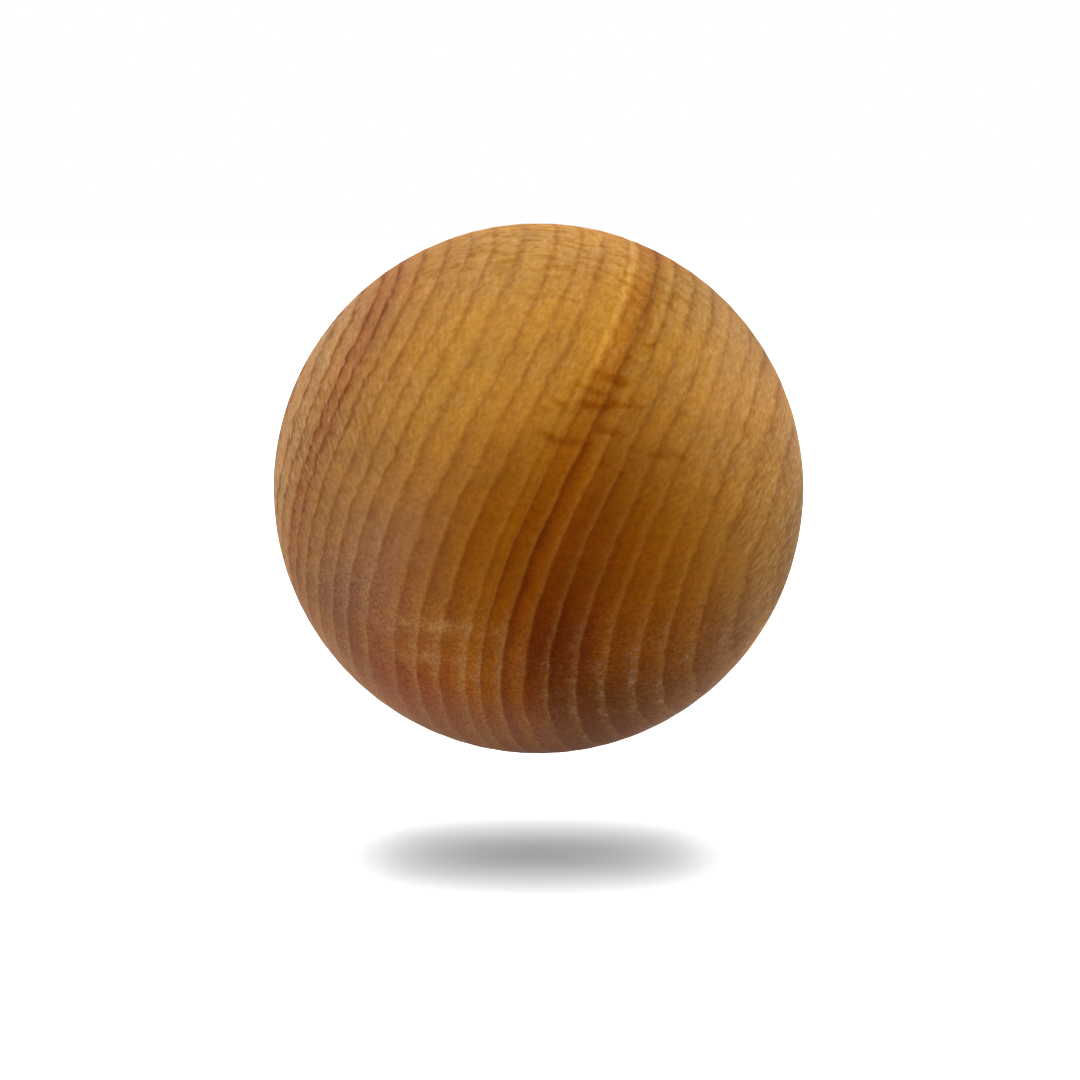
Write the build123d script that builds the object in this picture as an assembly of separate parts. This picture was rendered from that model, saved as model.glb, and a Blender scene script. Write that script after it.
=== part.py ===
"""A plain wooden ball, turned from one block.

The frame has its origin at the ball's centre and +Z up. Lengths are in millimetres.
"""

import os

from build123d import *

# Driving dimension
ball_diameter = 50.0

# Worked out from it
ball_radius = ball_diameter / 2


def half_section():
    """The half disc on one side of the turning axis: a half circle closed along that axis."""
    top = (0, 0, ball_radius)
    side = (ball_radius, 0, 0)
    bottom = (0, 0, -ball_radius)
    outline = ThreePointArc(top, side, bottom) + Line(bottom, top)
    return make_face(outline)


def turned_ball():
    """The half section swept once round the turning axis, as a lathe cuts it, with no hole and no flat."""
    return revolve(half_section(), axis=Axis.Z)


def main():
    """Writes one file for each piece. The ball is a single piece."""
    os.makedirs("parts", exist_ok=True)
    ball = turned_ball()
    ball.label = "ball"
    export_step(ball, "parts/ball.step")
    print(f"ball: diameter {ball_diameter} mm, volume {ball.volume:.1f} mm3")


if __name__ == "__main__":
    main()
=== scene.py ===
import math

import bpy
import numpy as np
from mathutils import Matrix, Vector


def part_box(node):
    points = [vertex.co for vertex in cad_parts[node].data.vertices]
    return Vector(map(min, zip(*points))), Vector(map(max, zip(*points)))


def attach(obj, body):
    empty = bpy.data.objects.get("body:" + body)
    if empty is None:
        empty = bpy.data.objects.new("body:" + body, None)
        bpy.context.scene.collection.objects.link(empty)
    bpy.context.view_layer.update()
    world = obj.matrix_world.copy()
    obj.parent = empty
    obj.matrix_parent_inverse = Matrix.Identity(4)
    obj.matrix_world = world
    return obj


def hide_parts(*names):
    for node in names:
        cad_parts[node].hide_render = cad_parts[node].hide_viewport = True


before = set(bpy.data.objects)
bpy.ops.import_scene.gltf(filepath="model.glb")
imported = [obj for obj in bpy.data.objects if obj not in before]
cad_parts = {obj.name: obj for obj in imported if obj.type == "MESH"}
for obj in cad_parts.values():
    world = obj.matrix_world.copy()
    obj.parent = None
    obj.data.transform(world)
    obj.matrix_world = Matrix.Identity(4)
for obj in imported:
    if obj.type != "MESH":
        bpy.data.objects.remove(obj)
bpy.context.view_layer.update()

mm = 0.001  # one millimetre in the scene's metres

lowCorner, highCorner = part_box("ball")
ballRadius = (highCorner[0] - lowCorner[0]) / 2
ballRadiusMm = ballRadius / mm
print(f"frame: ball {2 * ballRadiusMm:.1f} mm across")


# Camera: straight in front, a little above, far enough off for a flat perspective

cameraPlan = {
    "distance": 14 * ballRadius,
    "elevation": 5.0,            # degrees above the ball's centre
    "sensor": 36.0,              # mm
    "lens": 123.4,               # mm
    "shift": (0.0014, -0.0477),  # the ball sits a little above the middle of the frame
    "nearest": 0.01,             # metres
}


def placeCamera(plan):
    camera = bpy.data.objects.new("camera", bpy.data.cameras.new("camera"))
    bpy.context.collection.objects.link(camera)
    rise = math.radians(plan["elevation"])
    camera.location = (0, -plan["distance"] * math.cos(rise), plan["distance"] * math.sin(rise))
    camera.rotation_euler = (math.pi / 2 - rise, 0, 0)
    camera.data.lens = plan["lens"]
    camera.data.sensor_width = plan["sensor"]
    camera.data.shift_x, camera.data.shift_y = plan["shift"]
    camera.data.clip_start = plan["nearest"]
    bpy.context.scene.camera = camera
    print("camera placed")


placeCamera(cameraPlan)
bpy.context.scene.view_settings.view_transform = "Standard"


# The block of wood that the ball was turned from: how the grain and the year rings lie in it

woodBlock = {
    "grainTurn": 13.5,      # degrees, the grain points away from the camera and this far to the right
    "grainRise": 31.0,      # degrees, and climbs this much
    "pithDrop": 13.2,       # degrees, the pith lies to the right and this far below level
    "ringCurve": 53.0,      # mm, radius of the rings across the grain
    "bowCurve": -640.0,     # mm, radius of the rings along the grain, hollow side out
    "firstYear": -23.9,     # mm from the ball's centre, outwards from the pith
    # mm, one width a year, from the pith side outwards
    "yearWidths": (2.5, 2.8, 2.45, 2.05, 2.6, 2.4, 2.45, 2.15, 2.05, 1.9, 1.25, 2.55, 2.2,
                   2.2, 2.95, 2.2, 1.7, 1.7, 1.7, 1.4, 1.05, 1.3, 1.15, 1.6, 1.6),
}


# The grain is +Y turned right and lifted. The pith side is level right of it, rolled down about the grain.
def blockAxes(block):
    turn, rise, drop = (math.radians(block[k]) for k in ("grainTurn", "grainRise", "pithDrop"))
    grain = np.array([math.sin(turn) * math.cos(rise), math.cos(turn) * math.cos(rise), math.sin(rise)])
    level = np.array([math.cos(turn), -math.sin(turn), 0.0])
    upright = np.cross(level, grain)
    outward = -(math.cos(drop) * level - math.sin(drop) * upright)
    across = np.cross(outward, grain)
    return outward, across, grain


# Depth, across and along are plain distances in the block, in mm. Rings are sheets of equal depth after
# the depth has grown by the square of the distance across, and shrunk a little by the square of that along.
def woodPlaces(points, block):
    outward, across, grain = blockAxes(block)
    inMm = points / mm
    depth = inMm @ outward
    side = inMm @ across
    along = inMm @ grain
    depth = depth + side ** 2 / (2 * block["ringCurve"]) + along ** 2 / (2 * block["bowCurve"])
    return np.stack([depth, side, along], axis=-1)


# Fibres run over the surface where planes through the grain axis cut it, so their places are those of
# the points pushed out onto a cylinder round that axis
def fibrePlaces(points, block):
    outward, across, grain = blockAxes(block)
    flat = np.stack([points @ outward, points @ across], axis=-1)
    nearAxis = 0.01 * mm  # nearer to the axis than this, a point is pushed out only part of the way
    flat *= ballRadius / np.maximum(np.linalg.norm(flat, axis=-1, keepdims=True), nearAxis)
    return np.concatenate([flat, (points @ grain)[:, None]], axis=-1) / mm


# Years counted outwards, with the part of a year that has gone by
def growthYears(depth, block):
    widths = np.array(block["yearWidths"])
    ends = block["firstYear"] + np.concatenate([[0.0], np.cumsum(widths)])
    years = np.interp(depth, ends, np.arange(len(ends), dtype=float))
    years += np.minimum(depth - ends[0], 0) / widths[0] + np.maximum(depth - ends[-1], 0) / widths[-1]
    return years


# The ball's surface

ballPlan = {
    "cells": 128,           # grid cells along each side of the six patches
    "relief": 0.02,         # mm that the soft early wood lies below the hard late wood
    "reliefSpan": 1 / 1.1,  # share of the year after which the dip is gone
    "mapMargin": 0.004,     # share of the map kept clear round each patch
    "weldSteps": 1e6,       # corners are one when they agree to a millionth of the radius
    "tintEdge": 0.4,       # mm, soft edge where a tint's depths end
}


# Broad rays cut along their side are dark flecks across the rings, on the near quarter face. In mm: depth,
# place along the grain, half the length, half the thickness; then how dark, and the tilt in degrees
rayFlecks = (
    (-2.0, -10.3, 1.6, 0.42, 1.50, -4),
    (-2.7, -10.4, 1.0, 0.45, 0.70, -8),
    (-1.4, -12.0, 1.3, 0.34, 1.10, -6),
    (-1.5, -13.2, 1.4, 0.36, 1.20, -14),
    (-4.2, -12.0, 1.8, 0.34, 1.20, -23),
    (0.6, -11.9, 0.7, 0.30, 0.85, 16),
    (1.0, -14.0, 1.3, 0.30, 0.85, 14),
    (2.4, -14.6, 0.8, 0.30, 0.60, 25),
    (0.9, -16.4, 1.0, 0.30, 0.85, 14),
    (-1.4, -16.3, 1.4, 0.34, 0.95, -12),
    (-2.9, -14.4, 1.0, 0.40, 0.60, -9),
    (-4.2, -14.4, 1.3, 0.36, 0.85, -13),
    (-6.3, -14.6, 1.2, 0.32, 0.60, -10),
    (-5.3, -16.6, 1.3, 0.34, 0.55, -5),
    (-9.3, -13.9, 1.0, 0.34, 0.85, -23),
    (-11.5, -12.6, 1.0, 0.34, 0.80, -16),
    (-3.8, -5.6, 0.9, 0.36, 0.90, -24),
    (-6.4, -7.5, 0.5, 0.45, 0.70, 0),
    (-2.4, -7.8, 1.2, 0.50, 0.45, 0),
    (-2.6, -4.6, 1.1, 0.50, 0.40, 0),
    (-2.4, 0.0, 1.0, 0.40, 0.45, 0),
    (-2.7, 7.2, 0.8, 0.40, 0.35, 0),
)

# Cut across, they are rows of pale spots on the near end grain. In mm: depth, place across the grain,
# half the length, half the thickness; then how pale, and the tilt
raySpots = (
    (9.3, 0.9, 0.9, 0.7, 0.60, 0),
    (7.2, -0.6, 0.9, 0.6, 0.80, 0),
    (4.7, -1.2, 1.0, 0.7, 0.90, 0),
    (2.9, -1.8, 1.3, 0.8, 0.75, 0),
    (1.3, -2.3, 0.9, 0.6, 0.55, 0),
    (-1.5, -2.5, 0.8, 0.6, 0.45, 0),
    (9.2, 5.2, 0.8, 0.7, 0.45, 0),
    (6.9, 3.6, 0.9, 0.7, 0.75, 0),
    (4.6, 2.3, 1.0, 0.9, 0.80, 0),
    (1.5, 1.9, 0.8, 0.7, 0.60, 0),
    (0.4, 3.3, 0.6, 0.6, 0.60, 0),
)

# Soft tints as seen from the front (stains in the oil, and painted shade and reflection where noted): degrees
# to the right and upwards, half the width in mm, the depths it keeps to, and what it leaves of red, green and
# blue
allDepths = (-ballRadiusMm, ballRadiusMm)
stainsAndPaintedLight = {
    # partly oil soaked into the heart, partly painted shade: the front middle darker and more saturated
    "soakedHeartAndShade": (20, -8, 11.3, allDepths, (0.98, 0.91, 0.05)),
    "soakedEdge": (-6, -1, 5.0, allDepths, (0.95, 0.92, 0.50)),
    # the next two partly painted shade: darker low in front
    "soakedLowAndShade": (3, -17, 6.5, allDepths, (0.93, 0.89, 0.92)),
    "soakedFootAndShade": (16, -44, 6.0, allDepths, (0.84, 0.77, 0.64)),
    "darkStreak": (1, -29, 6.5, (-10.0, -4.0), (0.74, 0.57, 0.33)),
    "dryLeft": (-34, -13, 8.3, allDepths, (0.87, 0.91, 2.35)),
    "redLowLeft": (-38, -41, 6.5, allDepths, (0.92, 0.60, 0.55)),
    # painted shade: the next two darken the left rim
    "shadeLeftRim": (-53, -25, 5.5, allDepths, (0.70, 0.64, 1.12)),
    "shadeLowLeftRim": (-50, -42, 5.3, allDepths, (0.77, 0.69, 0.95)),
    # partly painted shade: darker and more saturated towards the right rim
    "oiledRightAndShade": (59, -2, 9.8, allDepths, (0.87, 0.81, 0.56)),
    "oiledUpRight": (32, 18, 5.5, allDepths, (0.94, 0.90, 0.82)),
    # painted shade: darker low on the right
    "shadeFootRight": (31, -54, 7.0, allDepths, (0.61, 0.63, 0.76)),
    "warmLowLeft": (-16, -38, 4.0, allDepths, (1.19, 1.19, 0.95)),
    # the next two partly pale wood, partly painted reflection: paler and greyer near the top rim
    "paleCrownAndReflection": (-6, 68, 8.0, allDepths, (0.91, 1.04, 1.65)),
    "paleUpRightAndReflection": (60, 50, 6.0, allDepths, (0.90, 1.00, 1.35)),
    "warmCrown": (17, 40, 5.5, allDepths, (0.95, 0.90, 0.68)),
    "wornPaleLine": (7, 18, 5.5, (-0.5, 1.0), (0.85, 0.81, 0.64)),
    # painted shade: the next four darken the right side along its rim, low and high
    "shadeRightRim": (79, -15, 6.5, allDepths, (0.72, 0.63, 0.45)),
    "shadeLowRight": (55, -33, 6.8, allDepths, (0.66, 0.56, 0.62)),
    "shadeLowRim": (72, -50, 5.5, allDepths, (0.70, 0.68, 0.60)),
    "shadeUpRight": (80, 35, 5.5, allDepths, (0.75, 0.74, 0.72)),
    # partly dry end grain, partly painted reflection of the pale floor: paler and greyer at the bottom
    "dryFootAndReflection": (-2, -62, 5.2, allDepths, (1.42, 1.70, 2.20)),
}


# A mark is a bell over its length times a bell over its thickness, with its length turned by the tilt
def bellMarks(along, across, marks):
    at, over, halfLong, halfThick, strength, tilt = np.array(marks).T
    tilt = np.radians(tilt)
    ahead, aside = along[:, None] - at, across[:, None] - over
    length = (ahead * np.cos(tilt) + aside * np.sin(tilt)) / halfLong
    thickness = (aside * np.cos(tilt) - ahead * np.sin(tilt)) / halfThick
    return (strength * np.exp(-length ** 2 - thickness ** 2)).sum(axis=1)


# Each tint is a bell over the straight distance to its middle
def tintShare(points, turn, rise, halfWidth):
    turn, rise = math.radians(turn), math.radians(rise)
    middle = np.array([math.sin(turn) * math.cos(rise), -math.cos(turn) * math.cos(rise), math.sin(rise)])
    return np.exp(-(np.linalg.norm(points / mm - middle * ballRadiusMm, axis=1) / halfWidth) ** 2)


# The tints of the stains, painted shade and painted reflection multiplied together, each one ending softly
# where its depths end
def stainAndPaintedLightTints(points, depth, plan, edge):
    tints = np.ones((len(points), 3))
    for turn, rise, halfWidth, (low, high), tint in plan.values():
        share = tintShare(points, turn, rise, halfWidth)
        share *= np.clip((depth - low) / edge + 0.5, 0, 1) * np.clip((high - depth) / edge + 0.5, 0, 1)
        tints *= 1 + share[:, None] * (np.array(tint) - 1)
    return tints


# Six patches, one for each face of a cube. On a patch the two parameters are angles from -45 to 45 degrees,
# and the direction is the face's own axis plus the tangents of the two angles along its two sides.
def ballDirections(cells):
    angle = np.linspace(-math.pi / 4, math.pi / 4, cells + 1)
    u, v = np.meshgrid(np.tan(angle), np.tan(angle), indexing="ij")
    patches = []
    for axis in range(3):
        for sign in (1.0, -1.0):
            patch = np.empty(u.shape + (3,))
            patch[..., axis] = sign
            patch[..., (axis + 1) % 3] = sign * u
            patch[..., (axis + 2) % 3] = v
            patches.append(patch / np.linalg.norm(patch, axis=-1, keepdims=True))
    return np.array(patches)


# The four corners of every cell of every patch, in turn round the cell
def cellCorners(grid, axis):
    return np.stack([grid[:, :-1, :-1], grid[:, 1:, :-1], grid[:, 1:, 1:], grid[:, :-1, 1:]], axis=axis)


# The patches' corners are numbered in one row; equal places at the seams share one number
def weldedGrid(patches, plan):
    flat = patches.reshape(-1, 3)
    key = np.round(flat * plan["weldSteps"]).astype(np.int64)
    first, number = np.unique(key, axis=0, return_index=True, return_inverse=True)[1:]
    number = number.reshape(patches.shape[:3])
    return flat[first], cellCorners(number, -1).reshape(-1, 4)


# Each patch fills one field of a map with three columns and two rows
def patchMap(plan):
    columns, rows, margin = 3, 2, plan["mapMargin"]
    step = np.linspace(0, 1, plan["cells"] + 1)
    u, v = np.meshgrid(step, step, indexing="ij")
    maps = []
    for k in range(columns * rows):
        left = k % columns / columns + margin
        low = k // columns / rows + margin
        across = left + u * (1 / columns - 2 * margin)
        up = low + v * (1 / rows - 2 * margin)
        maps.append(np.stack([across, up], axis=-1))
    return cellCorners(np.array(maps), -2).reshape(-1, 2)


# One number or one vector for each point of the mesh
def addLayer(mesh, name, values):
    kind, field = ("FLOAT", "value") if values.ndim == 1 else ("FLOAT_VECTOR", "vector")
    layer = mesh.attributes.new(name, kind, "POINT")
    layer.data.foreach_set(field, values.astype(np.float32).ravel())


# Radius: the ball's own, less the relief times the squared sine of an angle. The angle makes half a turn over
# the relief's span of each year, so the dip is deepest near the middle of the year and gone before its end.
def ballSurface(plan, block):
    directions, quads = weldedGrid(ballDirections(plan["cells"]), plan)
    place = woodPlaces(directions * ballRadius, block)
    depth, side, along = place.T
    years = growthYears(depth, block)
    part = years - np.floor(years)
    dip = np.sin(math.pi * np.clip(part / plan["reliefSpan"], 0, 1)) ** 2
    points = directions * (ballRadius - plan["relief"] * mm * dip)[:, None]

    mesh = bpy.data.meshes.new("turnedBall")
    mesh.vertices.add(len(points))
    mesh.vertices.foreach_set("co", points.astype(np.float32).ravel())
    mesh.loops.add(quads.size)
    mesh.loops.foreach_set("vertex_index", quads.astype(np.int32).ravel())
    mesh.polygons.add(len(quads))
    mesh.polygons.foreach_set("loop_start", np.arange(0, quads.size, 4, dtype=np.int32))
    mesh.update(calc_edges=True)
    mesh.polygons.foreach_set("use_smooth", np.ones(len(quads), dtype=bool))

    uvMap = mesh.uv_layers.new(name="OFBake")
    uvMap.data.foreach_set("uv", patchMap(plan).astype(np.float32).ravel())
    addLayer(mesh, "woodPlace", place)
    addLayer(mesh, "fibrePlace", fibrePlaces(points, block))
    addLayer(mesh, "growthYear", years)
    addLayer(mesh, "rayFleck", bellMarks(depth, along, rayFlecks) * (side < 0))
    addLayer(mesh, "raySpot", bellMarks(depth, side, raySpots) * (along < 0))
    # share of the heart's tint of soaked oil and painted shade, where the rings are calmer
    addLayer(mesh, "soakAndShade", tintShare(points, *stainsAndPaintedLight["soakedHeartAndShade"][:3]))
    addLayer(mesh, "stainAndPaintedLight", stainAndPaintedLightTints(points, depth, stainsAndPaintedLight, plan["tintEdge"]))
    mesh.validate()
    ball = bpy.data.objects.new("turnedBall", mesh)
    bpy.context.collection.objects.link(ball)
    print(f"ball surface: {len(points)} points, {2 * len(quads)} triangles")
    return ball


# Small helpers for building node trees

def makeNode(tree, kind, inputs=None, **settings):
    node = tree.nodes.new(kind)
    for name, value in settings.items():
        setattr(node, name, value)
    for name, value in (inputs or {}).items():
        socket = node.inputs[name]
        if isinstance(value, bpy.types.NodeSocket):
            tree.links.new(value, socket)
        else:
            socket.default_value = value
    return node


def doMath(tree, operation, a, b=0.0, c=0.0):
    return makeNode(tree, "ShaderNodeMath", {0: a, 1: b, 2: c}, operation=operation).outputs[0]


def product(tree, *values):
    result = values[0]
    for value in values[1:]:
        result = doMath(tree, "MULTIPLY", result, value)
    return result


def fadeRange(tree, value, low, high, outLow=0.0, outHigh=1.0, kind="SMOOTHSTEP"):
    inputs = {"Value": value, "From Min": low, "From Max": high, "To Min": outLow, "To Max": outHigh}
    return makeNode(tree, "ShaderNodeMapRange", inputs, interpolation_type=kind).outputs["Result"]


# From one value to another as a share goes from nothing to all
def between(tree, share, none, full):
    return fadeRange(tree, share, 0.0, 1.0, none, full, "LINEAR")


def mixValues(tree, factor, a, b):
    return makeNode(tree, "ShaderNodeMix", {0: factor, 2: a, 3: b}).outputs[0]


def mixColours(tree, blend, factor, colour, other):
    inputs = {0: factor, 6: colour, 7: other}
    return makeNode(tree, "ShaderNodeMix", inputs, data_type="RGBA", blend_type=blend).outputs[2]


def tintBy(tree, factor, colour, tint):
    return mixColours(tree, "MULTIPLY", factor, colour, tint)


def blendTo(tree, factor, colour, other):
    return mixColours(tree, "MIX", factor, colour, other)


def surfaceLayer(tree, name, output="Fac"):
    return makeNode(tree, "ShaderNodeAttribute", attribute_name=name).outputs[output]


def scaled(tree, vector, cellSize):
    inverse = tuple(1 / s for s in cellSize)
    return makeNode(tree, "ShaderNodeVectorMath", {0: vector, 1: inverse}, operation="MULTIPLY").outputs[0]


def grainNoise(tree, place, cellSize, detail=2.0, roughness=0.5):
    inputs = {"Vector": scaled(tree, place, cellSize), "Scale": 1.0, "Detail": detail, "Roughness": roughness}
    return makeNode(tree, "ShaderNodeTexNoise", inputs).outputs["Fac"]


# Noise lies about one half; this moves it to lie about zero
def swing(tree, noise):
    return doMath(tree, "SUBTRACT", noise, 0.5)


def rampNode(tree, value, stops, interpolation="LINEAR"):
    node = makeNode(tree, "ShaderNodeValToRGB", {"Fac": value})
    ramp = node.color_ramp
    ramp.interpolation = interpolation
    while len(ramp.elements) < len(stops):
        ramp.elements.new(0.5)
    for element, (position, colour) in zip(ramp.elements, stops):
        element.position = position
        element.color = (*colour, 1.0) if isinstance(colour, tuple) else (colour, colour, colour, 1.0)
    return node.outputs["Color"]


# Oiled wood. Cells are sizes in mm in the block: outwards from the pith, across the grain, along the grain.
# Depths are in mm outwards from the ball's centre. Fades say where something starts and where it is full.

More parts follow.
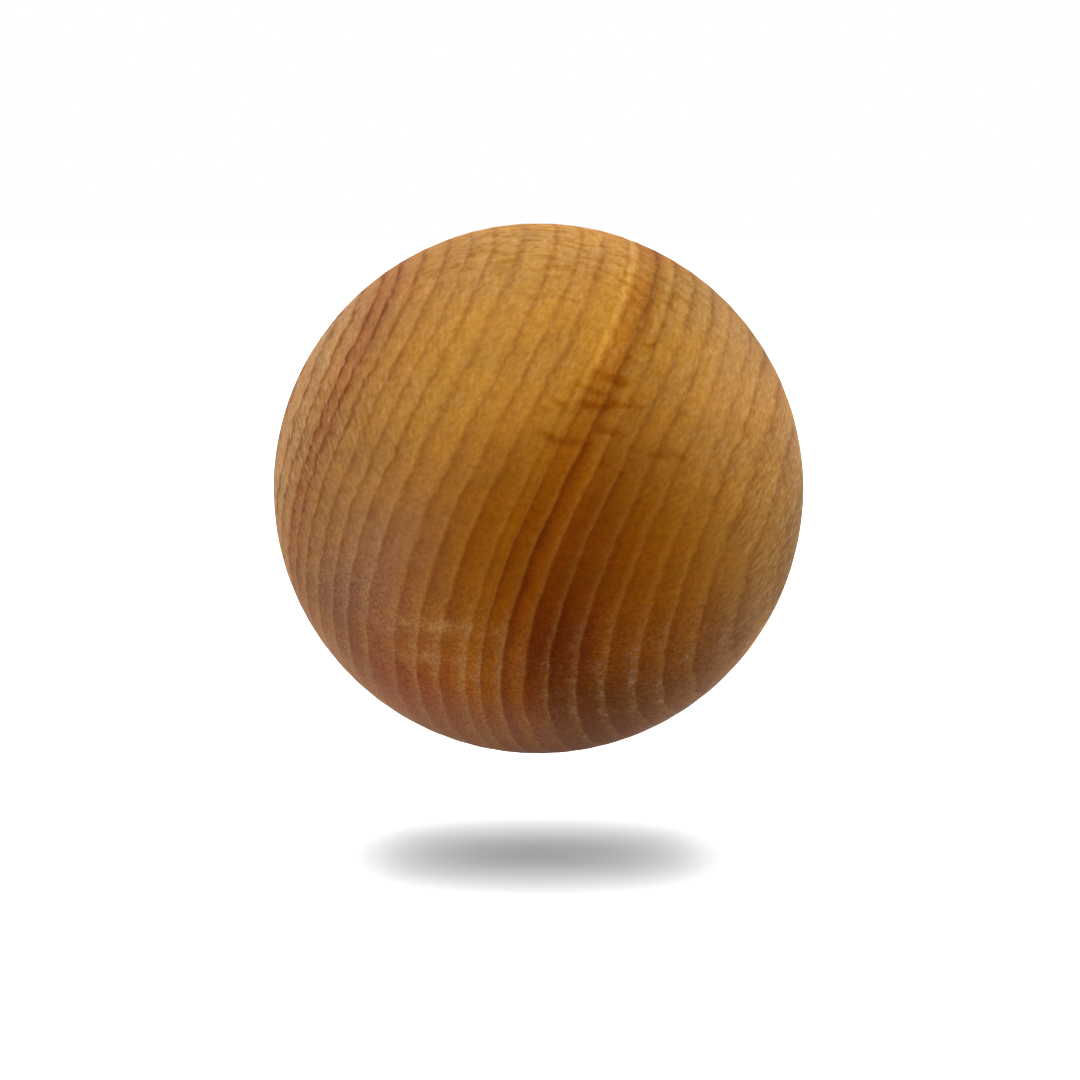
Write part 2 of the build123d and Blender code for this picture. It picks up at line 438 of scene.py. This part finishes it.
woodFinish = {
    # colour of the pale wood against depth
    "zones": (
        (-25.0, (0.350, 0.196, 0.070)),
        (-22.0, (0.430, 0.227, 0.076)),
        (-18.0, (0.463, 0.235, 0.067)),
        (-14.0, (0.485, 0.245, 0.068)),
        (-11.5, (0.458, 0.229, 0.057)),
        (-8.0, (0.425, 0.209, 0.042)),
        (-5.2, (0.403, 0.194, 0.032)),
        (-3.9, (0.400, 0.188, 0.030)),
        (-3.3, (0.376, 0.168, 0.023)),
        (-2.7, (0.330, 0.130, 0.013)),
        (-2.3, (0.322, 0.122, 0.012)),   # the reddish year
        (-1.9, (0.365, 0.142, 0.014)),
        (-1.4, (0.410, 0.164, 0.017)),
        (-0.35, (0.432, 0.179, 0.020)),
        (-0.1, (0.500, 0.225, 0.032)),
        (0.1, (0.590, 0.308, 0.076)),    # and the pale line beside it
        (0.3, (0.550, 0.277, 0.053)),
        (0.6, (0.505, 0.248, 0.037)),
        (1.2, (0.460, 0.219, 0.035)),
        (3.0, (0.446, 0.206, 0.034)),
        (8.0, (0.454, 0.211, 0.034)),
        (12.0, (0.440, 0.208, 0.035)),
        (15.5, (0.405, 0.189, 0.038)),
        (17.7, (0.372, 0.174, 0.042)),
        (19.0, (0.335, 0.145, 0.042)),
        (20.2, (0.315, 0.122, 0.038)),   # the reddish streak near the rim
        (20.8, (0.375, 0.180, 0.060)),
        (22.0, (0.403, 0.207, 0.072)),
        (25.0, (0.403, 0.212, 0.080)),
    ),
    # what the oil drawn into the end grain leaves of that colour, against the same depth; at the pith-side
    # depths, on the right, the darkening is partly painted shade
    "endTints": (
        (-25.0, (0.48, 0.34, 0.25)),
        (-15.0, (0.53, 0.31, 0.08)),
        (-8.0, (0.51, 0.265, 0.04)),
        (-5.0, (0.56, 0.28, 0.04)),
        (-4.4, (0.61, 0.31, 0.04)),
        (-4.2, (0.72, 0.42, 0.06)),
        (-2.5, (0.70, 0.39, 0.055)),
        (-2.35, (0.84, 0.61, 0.11)),
        (-1.4, (0.72, 0.51, 0.09)),
        (-0.6, (0.69, 0.47, 0.08)),
        (0.2, (0.61, 0.38, 0.08)),
        (1.0, (0.70, 0.46, 0.12)),
        (3.0, (0.76, 0.53, 0.22)),
        (6.0, (0.84, 0.67, 0.50)),
        (10.0, (0.89, 0.81, 0.85)),
        (16.0, (0.93, 0.95, 1.00)),
        (25.0, (0.95, 1.00, 1.00)),
    ),
    # faces of the wood, in shares of the radius
    "pithEndFade": (0.22, 0.85),         # end grain, by the distance along the grain, on the pith side
    "barkEndFade": (0.45, 0.95),         # and on the bark side
    "pithToBark": (-3.0, 6.0),           # mm, the depths where the one gives way to the other
    "flatFade": (0.45, 0.80),            # where the flat-cut face ends, by the distance across the grain
    "quarterFade": (0.80, 0.95),         # the quarter face
    "crownFade": (0.72, 0.92),           # the crown on top, and its like below,
    "crownAlong": (-5.0, 2.0),           # and the mm along the grain where it starts
    "lowSide": (-7.0, 3.0),              # mm across the grain, the low end grain
    # late wood over the year: part of the year gone by, and how dark on the side grain and on the end grain
    "sideShade": ((0.0, 1.0), (0.06, 0.6), (0.13, 0.15), (0.2, 0.0), (0.5, 0.10), (0.7, 0.28),
                  (0.84, 0.55), (0.94, 0.95), (1.0, 1.0)),
    "endShade": ((0.0, 1.0), (0.05, 0.75), (0.11, 0.25), (0.17, 0.0), (0.45, 0.15), (0.7, 0.41),
                 (0.86, 0.70), (0.96, 1.0), (1.0, 1.0)),
    # how dark each year's late wood gets, from the pith side outwards: on the side grain, on the end grain
    "sideStrengths": (0.37, 0.48, 0.50, 0.27, 0.27, 0.34, 0.36, 0.44, 0.44, 0.18, 0.21, 0.26, 0.26,
                      0.26, 0.26, 0.26, 0.27, 0.34, 0.48, 0.60, 0.66, 0.66, 0.66, 0.66, 0.66),
    "endStrengths": (0.50, 0.52, 0.60, 0.54, 0.61, 0.78, 0.90, 0.42, 0.78, 0.66, 0.34, 0.52, 0.56,
                     0.56, 0.53, 0.64, 0.64, 0.68, 0.66, 0.60, 0.55, 0.50, 0.50, 0.50, 0.50),
    # and how far its last cells stand out as a thin dark line on the side grain
    "lineStrengths": (0.2, 0.25, 0.3, 0.25, 0.25, 0.25, 0.25, 0.2, 0.0, 0.2, 0.15, 0.2, 0.2,
                      0.25, 0.25, 0.3, 0.36, 0.42, 0.5, 0.55, 0.5, 0.4, 0.4, 0.4, 0.4),
    "strengthStep": 0.2,                 # part of the year, still pale, where the next strength takes over
    "lateTint": (0.58, 0.38, 0.14, 1.0),
    "lowLateTint": (0.57, 0.42, 0.36, 1.0),   # low on the end grain
    "lineShade": ((0.0, 1.0), (0.05, 0.45), (0.1, 0.0), (0.80, 0.0), (0.92, 1.0), (1.0, 1.0)),
    "lineTint": (0.72, 0.58, 0.46, 1.0),
    # the first cells are a pale line on the end grain
    "startShade": ((0.0, 0.0), (0.06, 0.2), (0.13, 1.0), (0.25, 0.5), (0.4, 0.0)),
    "startTone": (0.50, 0.29, 0.06, 1.0),
    "startShare": 0.12,
    "crownRings": 1.35,                  # the rings are strongest on the crown
    "calmRings": 0.42,                   # what is left of the rings where the heart's tint of soaked oil and painted shade is fullest
    "calmFade": (0.25, 0.95),            # by how full that tint is
    "lowRings": 0.60,                    # what is left of them low on the end grain
    "lowRingSide": (-5.0, 3.0),          # mm across the grain
    "noiseSpan": (0.3, 0.7),             # where most values of a noise lie
    "breakCell": (1.6, 2.0, 4.0),        # stretches where a ring shows more or less
    "breaks": (0.6, 1.4),
    "waverCell": (6.0, 2.5, 14.0),       # slow waver of the rings
    "waver": 0.5,                        # mm
    "toothCell": (2.2, 1.2, 1.4),        # small teeth where rays cross them
    "tooth": 1.2,                        # mm, where the rings lie flat
    "quarterTooth": 0.5,                 # share of that on the quarter face
    "endTooth": 0.12,                    # and on the end grain
    "bandCell": (0.5, 26.0, 45.0),       # thin bands within a year
    "bandFade": (0.35, 0.7),
    "bandTint": (0.95, 0.92, 0.88, 1.0),
    # broad unevenness in how the oil took
    "mottleCell": (4.0, 3.5, 6.0),
    "mottles": ((0.35, (1.05, 1.03, 0.93)), (0.5, (1.0, 1.0, 1.0)), (0.65, (0.95, 0.96, 1.06))),
    # hairs of fibre, fullest on the flat-cut face and least on the end grain
    "fibreCell": (0.4, 0.4, 1.0),
    "fibreElsewhere": 0.42,
    "fibreOnEnd": 0.2,
    "darkHairFade": (0.52, 0.70),
    "darkHairTint": (0.83, 0.75, 0.67, 1.0),
    "paleHairFade": (0.30, 0.46),
    "paleHairTone": (0.66, 0.44, 0.24, 1.0),
    "paleHairShare": 0.22,
    # pores
    "poreCell": (0.4, 0.4, 0.6),
    "poreShades": ((0.35, (1.08, 1.09, 1.11)), (0.5, (1.0, 1.0, 1.0)), (0.65, (0.90, 0.87, 0.83))),
    # small clouds
    "cloudCell": (1.3, 1.2, 1.7),
    "clouds": ((0.33, (1.05, 1.05, 1.06)), (0.5, (1.0, 1.0, 1.0)), (0.67, (0.95, 0.945, 0.93))),
    # ray ends on the flat-cut face
    "dashCell": (3.0, 0.9, 2.4),
    "dashFade": (0.08, 0.26),            # shares of a cell from its middle, where a dash thins out and ends
    "dashTint": (0.88, 0.80, 0.72, 1.0),
    # rays seen along their side: faint rungs, and a ripple left by the tool on the crown
    "rungCell": (4.2, 1.0, 1.1),
    "rungFade": (0.54, 0.70),
    "rungShare": 0.20,
    "rippleCell": (1.8, 1.0, 1.0),
    "rippleFade": (0.50, 0.62),
    "rippleShare": 0.55,
    "fleckEdge": 1.2,                    # how ragged a fleck's edge is
    "fleckEdgeFade": (0.0, 0.3),
    "fleckFade": (0.05, 1.05),
    "fleckTint": (0.78, 0.58, 0.06, 1.0),
    # rays seen on the end grain
    "streakCell": (2.5, 0.5, 8.0),
    "streakFade": (0.5, 0.7),
    "streakTone": (0.42, 0.22, 0.06, 1.0),
    "streakShare": 0.02,
    "spotTone": (0.56, 0.32, 0.12, 1.0),
    "spotShare": 0.50,
    "spotGaps": 0.4,                     # what is left of a spot between its raised fibres
    # dry bloom low on the end grain, most on the pale half of a year
    "paleRise": (0.04, 0.14),            # parts of the year where that half starts
    "paleFall": (0.15, 0.65),            # and ends
    "bloomTone": (0.47, 0.27, 0.125, 1.0),
    "bloomShares": (0.04, 0.21),         # off and on that half
    "bloomPithFade": (-4.2, -2.6),       # depths where it weakens towards the pith
    "bloomPithShare": 0.25,
    "bloomBarkFade": (5.0, 9.0),         # and towards the bark
    "bloomBarkShare": 0.7,
    # dull tone of the foot, weaker on the pith side and behind; partly the wood's own, partly a painted
    # reflection of the pale floor
    "footTone": (0.36, 0.165, 0.12, 1.0),
    "footShare": 0.36,
    "footSide": (3.0, 13.0),             # mm across the grain
    "footDepths": (-10.5, -5.0),
    "footPithShare": 0.56,
    "footAlong": (-2.0, 10.0),           # mm along the grain
    "footBehindShare": 0.2,
    # raised fuzz low on the end grain, in patches
    "fuzzCell": (0.6, 0.7, 1.0),
    "fuzzFade": (0.42, 0.66),
    "fuzzPatchCell": (2.5, 3.0, 4.0),
    "fuzzPatchFade": (0.42, 0.62),
    "fuzzTone": (0.42, 0.27, 0.17, 1.0),
    "fuzzShare": 0.38,
    "fuzzLateShare": 0.2,                # share of that off the pale half of a year
    "fuzzDepths": (-7.5, -5.0),
    "fuzzBarkShare": 0.35,
    # torn fibre ends as fine grit, on the lower half and most on the end grain
    "gritCell": (0.26, 0.26, 0.4),
    "gritShades": ((0.32, (1.22, 1.23, 1.26)), (0.5, (1.0, 1.0, 1.0)), (0.68, (0.78, 0.76, 0.74))),
    "gritSide": (-10.0, 0.0),            # mm across the grain
    "gritEndFade": (0.2, 0.8),
    "gritElsewhere": 0.4,
    # the oiled surface
    "roughness": (0.54, 0.68),
    "bumpDepth": 0.05,                   # mm
    "bumpStrength": 0.35,
    "dashDip": -0.6,                     # ray ends lie lower and late wood higher than the fibres
    "lateRise": 0.35,
    "ior": 1.47,
    "gloss": 0.01,
    "sheen": 0.035,
}


def depthRamp(tree, depth, stops):
    shares = tuple(((at + ballRadiusMm) / (2 * ballRadiusMm), colour) for at, colour in stops)
    return rampNode(tree, fadeRange(tree, depth, -ballRadiusMm, ballRadiusMm, kind="LINEAR"), shares)


def oiledWood(finish, block):
    material = bpy.data.materials.new("oiledWood")
    material.use_nodes = True
    tree = material.node_tree
    tree.nodes.clear()
    place = surfaceLayer(tree, "woodPlace", "Vector")
    year = surfaceLayer(tree, "growthYear")
    split = makeNode(tree, "ShaderNodeSeparateXYZ", {0: place})
    depth, side, along = split.outputs[0], split.outputs[1], split.outputs[2]

    # which face of the wood shows
    endShare = doMath(tree, "MULTIPLY", doMath(tree, "ABSOLUTE", along), 1 / ballRadiusMm)
    quarterShare = doMath(tree, "MULTIPLY", doMath(tree, "ABSOLUTE", side), 1 / ballRadiusMm)
    pithEnd = fadeRange(tree, endShare, *finish["pithEndFade"])
    barkEnd = fadeRange(tree, endShare, *finish["barkEndFade"])
    endGrain = mixValues(tree, fadeRange(tree, depth, *finish["pithToBark"]), pithEnd, barkEnd)
    sideGrain = doMath(tree, "SUBTRACT", 1.0, endGrain)
    flatFace = product(tree, sideGrain, fadeRange(tree, quarterShare, *finish["flatFade"], 1.0, 0.0))
    quarterFace = fadeRange(tree, quarterShare, *finish["quarterFade"])
    onTop = fadeRange(tree, along, *finish["crownAlong"])
    crown = product(tree, fadeRange(tree, quarterShare, *finish["crownFade"]), onTop)
    lowFace = product(tree, fadeRange(tree, side, *finish["lowSide"]), endGrain)

    # rings waver a little, and on the side grain the rays pull them into small teeth
    waver = swing(tree, grainNoise(tree, place, finish["waverCell"]))
    tooth = swing(tree, grainNoise(tree, place, finish["toothCell"], detail=1.0))
    toothShare = fadeRange(tree, quarterShare, *finish["flatFade"], 1.0, finish["quarterTooth"])
    endTooth = between(tree, endGrain, 1.0, finish["endTooth"])
    tooth = product(tree, tooth, finish["tooth"], endTooth, toothShare)
    shift = doMath(tree, "MULTIPLY_ADD", waver, finish["waver"], tooth)
    wavyDepth = doMath(tree, "ADD", depth, shift)
    meanYear = sum(block["yearWidths"]) / len(block["yearWidths"])
    wavyYear = doMath(tree, "MULTIPLY_ADD", shift, 1 / meanYear, year)
    part = doMath(tree, "FRACT", wavyYear)

    # each year's strengths, in the three channels of a stepped ramp
    kinds = tuple(zip(finish["sideStrengths"], finish["endStrengths"], finish["lineStrengths"]))
    stops = tuple((k / len(kinds), levels) for k, levels in enumerate(kinds))
    steppedYear = doMath(tree, "SUBTRACT", wavyYear, finish["strengthStep"])
    strengths = rampNode(tree, product(tree, steppedYear, 1 / len(kinds)), stops, "CONSTANT")
    strengths = makeNode(tree, "ShaderNodeSeparateColor", {0: strengths}).outputs

    # late wood, its last cells and the first ones of the next year
    strength = mixValues(tree, endGrain, strengths[0], strengths[1])
    sideShade = rampNode(tree, part, finish["sideShade"])
    shade = mixValues(tree, endGrain, sideShade, rampNode(tree, part, finish["endShade"]))
    breaks = grainNoise(tree, place, finish["breakCell"])
    breaks = fadeRange(tree, breaks, *finish["noiseSpan"], *finish["breaks"], "LINEAR")
    calm = fadeRange(tree, surfaceLayer(tree, "soakAndShade"), *finish["calmFade"], 1.0, finish["calmRings"])
    low = product(tree, fadeRange(tree, side, *finish["lowRingSide"]), endGrain)
    lowCalm = fadeRange(tree, low, 0.0, 1.0, 1.0, finish["lowRings"])
    bold = between(tree, crown, 1.0, finish["crownRings"])
    lateWood = product(tree, shade, strength, breaks, calm, lowCalm, bold)
    lowLate = product(tree, lateWood, lowFace)
    yearLine = product(tree, rampNode(tree, part, finish["lineShade"]), strengths[2], breaks, sideGrain)
    yearStart = product(tree, rampNode(tree, part, finish["startShade"]), endGrain, finish["startShare"])
    thinBands = fadeRange(tree, grainNoise(tree, place, finish["bandCell"]), *finish["bandFade"])

    # pale wood, oil, stains with painted shade and reflection, and rings
    colour = depthRamp(tree, wavyDepth, finish["zones"])
    colour = tintBy(tree, endGrain, colour, depthRamp(tree, wavyDepth, finish["endTints"]))
    colour = tintBy(tree, 1.0, colour, surfaceLayer(tree, "stainAndPaintedLight", "Vector"))
    mottle = grainNoise(tree, place, finish["mottleCell"])
    colour = tintBy(tree, 1.0, colour, rampNode(tree, mottle, finish["mottles"]))
    colour = tintBy(tree, doMath(tree, "SUBTRACT", lateWood, lowLate), colour, finish["lateTint"])
    colour = tintBy(tree, lowLate, colour, finish["lowLateTint"])
    colour = tintBy(tree, yearLine, colour, finish["lineTint"])
    colour = blendTo(tree, yearStart, colour, finish["startTone"])
    colour = tintBy(tree, thinBands, colour, finish["bandTint"])

    # fibres, pores and clouds
    fibre = grainNoise(tree, surfaceLayer(tree, "fibrePlace", "Vector"), finish["fibreCell"], detail=1.5)
    hairy = between(tree, flatFace, finish["fibreElsewhere"], 1.0)
    hairy = product(tree, hairy, between(tree, endGrain, 1.0, finish["fibreOnEnd"]))
    darkHair = product(tree, fadeRange(tree, fibre, *finish["darkHairFade"]), hairy)
    paleHair = fadeRange(tree, fibre, *finish["paleHairFade"], 1.0, 0.0)
    paleHair = product(tree, paleHair, hairy, finish["paleHairShare"], sideGrain)
    colour = tintBy(tree, darkHair, colour, finish["darkHairTint"])
    colour = blendTo(tree, paleHair, colour, finish["paleHairTone"])
    pore = grainNoise(tree, place, finish["poreCell"])
    colour = tintBy(tree, 1.0, colour, rampNode(tree, pore, finish["poreShades"]))
    cloud = grainNoise(tree, place, finish["cloudCell"])
    colour = tintBy(tree, 1.0, colour, rampNode(tree, cloud, finish["clouds"]))

    # ray ends: short dashes along the grain, each of its own strength
    dashPlace = scaled(tree, place, finish["dashCell"])
    dashes = makeNode(tree, "ShaderNodeTexVoronoi", {"Vector": dashPlace, "Scale": 1.0}).outputs
    dashChance = makeNode(tree, "ShaderNodeSeparateColor", {0: dashes["Color"]}).outputs[0]
    dash = fadeRange(tree, dashes["Distance"], *finish["dashFade"], 1.0, 0.0)
    dash = product(tree, dash, dashChance, dashChance, flatFace)
    colour = tintBy(tree, dash, colour, finish["dashTint"])

    # rays on the quarter face
    rungs = grainNoise(tree, place, finish["rungCell"], detail=1.0)
    rungs = product(tree, fadeRange(tree, rungs, *finish["rungFade"]), quarterFace, finish["rungShare"])
    ripple = grainNoise(tree, place, finish["rippleCell"], detail=1.0)
    ripple = product(tree, fadeRange(tree, ripple, *finish["rippleFade"]), crown, finish["rippleShare"])
    fleck = surfaceLayer(tree, "rayFleck")
    ragged = fadeRange(tree, fleck, *finish["fleckEdgeFade"])
    ragged = product(tree, swing(tree, cloud), finish["fleckEdge"], ragged)
    fleck = fadeRange(tree, doMath(tree, "ADD", fleck, ragged), *finish["fleckFade"], kind="LINEAR")
    rungs = doMath(tree, "ADD", doMath(tree, "ADD", rungs, ripple), fleck)
    colour = tintBy(tree, rungs, colour, finish["fleckTint"])

    # rays on the end grain: fine pale streaks and rows of pale spots
    streak = grainNoise(tree, place, finish["streakCell"], detail=1.0)
    streak = product(tree, fadeRange(tree, streak, *finish["streakFade"]), endGrain, finish["streakShare"])
    colour = blendTo(tree, streak, colour, finish["streakTone"])
    fuzz = grainNoise(tree, place, finish["fuzzCell"], detail=3.0, roughness=0.6)
    fuzz = fadeRange(tree, fuzz, *finish["fuzzFade"])
    spots = product(tree, surfaceLayer(tree, "raySpot"), between(tree, fuzz, finish["spotGaps"], 1.0))
    colour = blendTo(tree, product(tree, spots, finish["spotShare"]), colour, finish["spotTone"])

    # dry bloom, and the dull foot with its painted reflection of the floor
    paleFall = fadeRange(tree, part, *finish["paleFall"], 1.0, 0.0)
    paleHalf = product(tree, fadeRange(tree, part, *finish["paleRise"]), paleFall)
    pithBloom = fadeRange(tree, depth, *finish["bloomPithFade"], finish["bloomPithShare"], 1.0)
    barkBloom = fadeRange(tree, depth, *finish["bloomBarkFade"], 1.0, finish["bloomBarkShare"])
    bloom = product(tree, lowFace, pithBloom, barkBloom, between(tree, paleHalf, *finish["bloomShares"]))
    colour = blendTo(tree, bloom, colour, finish["bloomTone"])
    footAlong = fadeRange(tree, along, *finish["footAlong"], 1.0, finish["footBehindShare"])
    footDepth = fadeRange(tree, depth, *finish["footDepths"], finish["footPithShare"], 1.0)
    footSide = fadeRange(tree, side, *finish["footSide"])
    foot = product(tree, footSide, footAlong, footDepth, finish["footShare"])
    colour = blendTo(tree, foot, colour, finish["footTone"])

    # raised fuzz and grit
    fuzzPatch = fadeRange(tree, grainNoise(tree, place, finish["fuzzPatchCell"]), *finish["fuzzPatchFade"])
    fuzzHalf = between(tree, paleHalf, finish["fuzzLateShare"], 1.0)
    fuzzDepth = fadeRange(tree, depth, *finish["fuzzDepths"], 1.0, finish["fuzzBarkShare"])
    fuzz = product(tree, fuzz, fuzzPatch, fuzzHalf, lowFace, fuzzDepth, finish["fuzzShare"])
    colour = blendTo(tree, fuzz, colour, finish["fuzzTone"])
    grit = grainNoise(tree, place, finish["gritCell"], detail=1.0)
    gritEnd = fadeRange(tree, endGrain, *finish["gritEndFade"], finish["gritElsewhere"], 1.0)
    gritty = product(tree, fadeRange(tree, side, *finish["gritSide"]), gritEnd)
    colour = tintBy(tree, gritty, colour, rampNode(tree, grit, finish["gritShades"]))

    # the oiled surface
    roughness = fadeRange(tree, fibre, *finish["noiseSpan"], *finish["roughness"], "LINEAR")
    height = doMath(tree, "MULTIPLY_ADD", dash, finish["dashDip"], fibre)
    height = doMath(tree, "MULTIPLY_ADD", lateWood, finish["lateRise"], height)
    bump = makeNode(tree, "ShaderNodeBump", {"Strength": finish["bumpStrength"],
                                             "Distance": finish["bumpDepth"] * mm, "Height": height})
    shader = makeNode(tree, "ShaderNodeBsdfPrincipled", {
        "Base Color": colour, "Roughness": roughness, "IOR": finish["ior"], "Normal": bump.outputs[0],
        "Specular IOR Level": finish["gloss"], "Sheen Weight": finish["sheen"]})
    makeNode(tree, "ShaderNodeOutputMaterial", {"Surface": shader.outputs[0]})
    return material


ball = ballSurface(ballPlan, woodBlock)
ball.data.materials.append(oiledWood(woodFinish, woodBlock))
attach(ball, "root")
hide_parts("ball")
print("ball dressed")


# Floor and light

studio = {
    "floorLevel": -34.9 * mm,
    "floorSize": 6.0,                            # metres
    "floorColour": (0.155, 0.155, 0.155, 1.0),   # what the floor throws back at the ball
    "floorShown": (0.365, 0.375, 0.379, 1.0),    # what is seen of it
    # a soft box on five sides, with a strength for each
    "sides": {(0, 0, 1): 0.8, (-1, 0, 0): 1.6, (1, 0, 0): 1.6, (0, 1, 0): 1.9, (0, -1, 0): 0.24},
    "lampHeight": 20.0,            # metres
    "keyStrength": 0.6 * math.pi,  # watts on a square metre
    "keySpread": 40.0,             # degrees
    # a long panel for the floor alone, which leaves only the core of the shadow grey
    "washSize": (16.0, 52.0),      # metres
    "washPower": 34100.0,          # watts
}


# One for rays that come from the camera, from gloss or through glass, else zero
def seenDirectly(tree):
    path = makeNode(tree, "ShaderNodeLightPath")
    seen = doMath(tree, "MAXIMUM", path.outputs["Is Camera Ray"], path.outputs["Is Glossy Ray"])
    return doMath(tree, "MAXIMUM", seen, path.outputs["Is Transmission Ray"])


def layFloor(plan):
    half = plan["floorSize"] / 2
    level = plan["floorLevel"]
    mesh = bpy.data.meshes.new("floor")
    corners = [(-half, -half, level), (half, -half, level), (half, half, level), (-half, half, level)]
    mesh.from_pydata(corners, [], [(0, 1, 2, 3)])
    material = bpy.data.materials.new("paleFloor")
    material.use_nodes = True
    tree = material.node_tree
    tree.nodes.clear()
    tone = blendTo(tree, seenDirectly(tree), plan["floorColour"], plan["floorShown"])
    matte = makeNode(tree, "ShaderNodeBsdfDiffuse", {"Color": tone})
    makeNode(tree, "ShaderNodeOutputMaterial", {"Surface": matte.outputs[0]})
    mesh.materials.append(material)
    floor = bpy.data.objects.new("floor", mesh)
    bpy.context.collection.objects.link(floor)
    return floor


def hangLamp(name, kind, height, power):
    lamp = bpy.data.lights.new(name, kind)
    lamp.energy = power
    holder = bpy.data.objects.new(name, lamp)
    holder.location.z = height
    bpy.context.collection.objects.link(holder)
    return holder


# Light from a heading is the sum over the box's sides of the side's strength times the squared share of the
# heading that points at it. For upward headings those squares add up to one.
# Camera and gloss see plain white.
def lightStudio(plan, floor):
    world = bpy.data.worlds.new("studio")
    bpy.context.scene.world = world
    world.use_nodes = True
    tree = world.node_tree
    tree.nodes.clear()
    heading = makeNode(tree, "ShaderNodeTexCoord").outputs["Generated"]
    light = 0.0
    for way, strength in plan["sides"].items():
        share = makeNode(tree, "ShaderNodeVectorMath", {0: heading, 1: way}, operation="DOT_PRODUCT")
        share = doMath(tree, "MAXIMUM", share.outputs["Value"], 0.0)
        light = doMath(tree, "MULTIPLY_ADD", doMath(tree, "POWER", share, 2.0), strength, light)
    strength = mixValues(tree, seenDirectly(tree), light, 1.0)
    background = makeNode(tree, "ShaderNodeBackground", {"Color": (1.0, 1.0, 1.0, 1.0), "Strength": strength})
    makeNode(tree, "ShaderNodeOutputWorld", {"Surface": background.outputs[0]})

    key = hangLamp("key", "SUN", plan["lampHeight"], plan["keyStrength"])
    key.data.angle = math.radians(plan["keySpread"])
    wash = hangLamp("wash", "AREA", plan["lampHeight"], plan["washPower"])
    wash.data.shape = "RECTANGLE"
    wash.data.size, wash.data.size_y = plan["washSize"]
    wash.visible_camera = False
    wash.light_linking.receiver_collection = bpy.data.collections.new("washed")
    wash.light_linking.receiver_collection.objects.link(floor)
    print("floor and light set")


lightStudio(studio, layFloor(studio))
